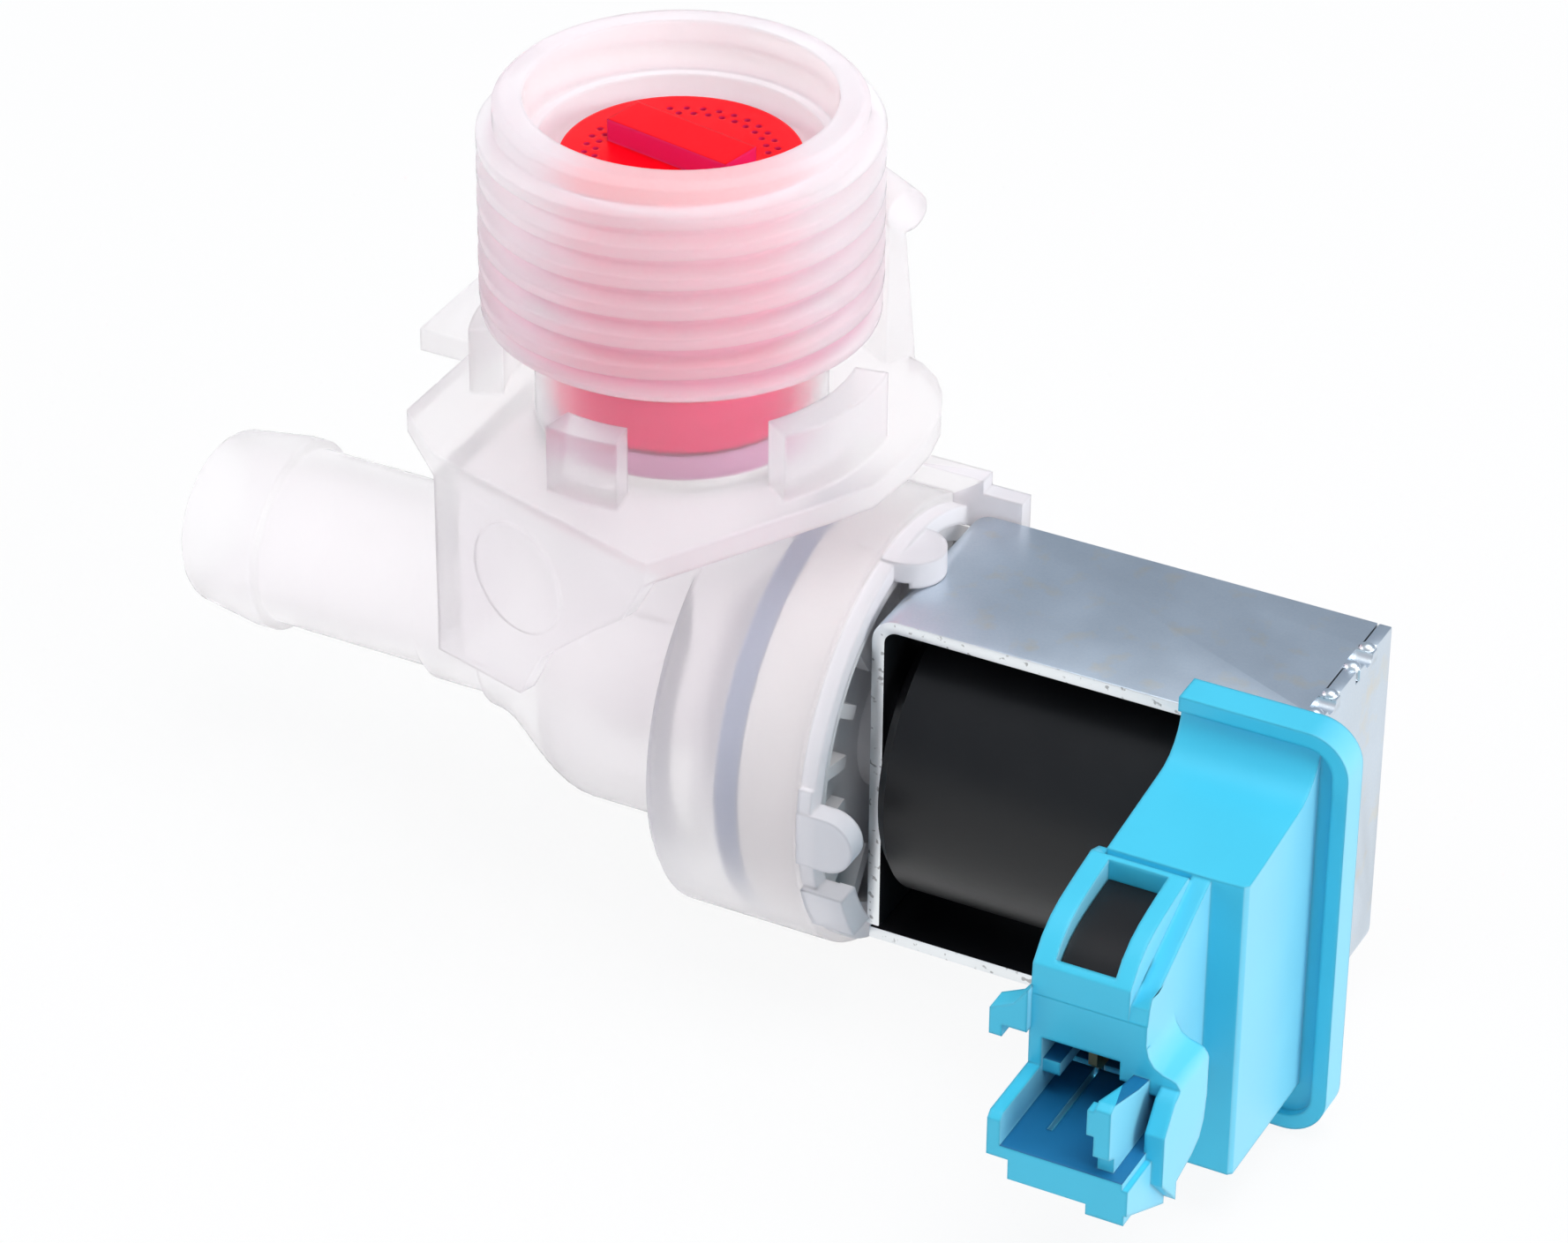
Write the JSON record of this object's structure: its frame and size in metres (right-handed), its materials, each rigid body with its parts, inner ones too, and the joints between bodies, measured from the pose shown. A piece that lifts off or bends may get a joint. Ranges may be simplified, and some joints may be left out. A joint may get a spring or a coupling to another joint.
{
  "type": "washing machine inlet valve",
  "caption": "Electric water inlet valve with a threaded inlet, a barbed outlet spigot, a coil in a steel yoke and a blue plug socket.",
  "frame": {"origin": "on the inlet's axis, in the face of the panel plate that meets the machine's panel", "axes": "+Z out of the threaded inlet, -X out of the barbed outlet, -Y towards the plug socket's front"},
  "size_m": [0.0907, 0.0523, 0.0601],
  "materials": {
    "body_plastic": "translucent natural polypropylene, frosted",
    "strainer_plastic": "red moulded plastic",
    "washer_rubber": "dark elastomer",
    "membrane_rubber": "dark elastomer",
    "white_plastic": "white moulded plastic",
    "bobbin_plastic": "glass-filled plastic",
    "magnetic_steel": "turned stainless steel",
    "copper": "enamelled copper wire",
    "black_plastic": "satin black thermoplastic",
    "zinc_steel": "zinc-plated sheet steel",
    "brass": "bright brass blade",
    "blue_plastic": "sky-blue moulded plastic"
  },
  "bodies": {
    "housing": {"valve_body": "body_plastic", "inlet_strainer": "strainer_plastic", "flow_washer": "washer_rubber", "washer_seat": "body_plastic", "diaphragm": "membrane_rubber", "bonnet": "white_plastic", "plunger_spring": "magnetic_steel", "coil_bobbin": "bobbin_plastic", "coil_winding": "copper", "coil_overmould": "black_plastic", "flux_sleeve_left": "zinc_steel", "flux_sleeve_right": "zinc_steel", "yoke_upper": "zinc_steel", "yoke_lower": "zinc_steel", "terminal_inner": "brass", "terminal_outer": "brass", "connector_cap": "blue_plastic"},
    "plunger_body": {"plunger": "magnetic_steel", "plunger_seal": "membrane_rubber"},
    "core_body": {"diaphragm_core": "white_plastic"}
  },
  "joints": [
    {"name": "plunger_lift", "type": "slide", "parent": "housing", "child": "plunger_body", "axis": [1, 0, 0], "range_m": [0, 0.0025], "stiffness_N_per_m": 180, "springref_m": -0.003, "deforming": ["plunger_spring"]},
    {"name": "diaphragm_lift", "type": "slide", "parent": "housing", "child": "core_body", "axis": [1, 0, 0], "range_m": [0, 0.002], "deforming": ["diaphragm"]}
  ],
  "couplings": [
    {"joint": "diaphragm_lift", "follows": "plunger_lift", "ratio": 0.8}
  ]
}
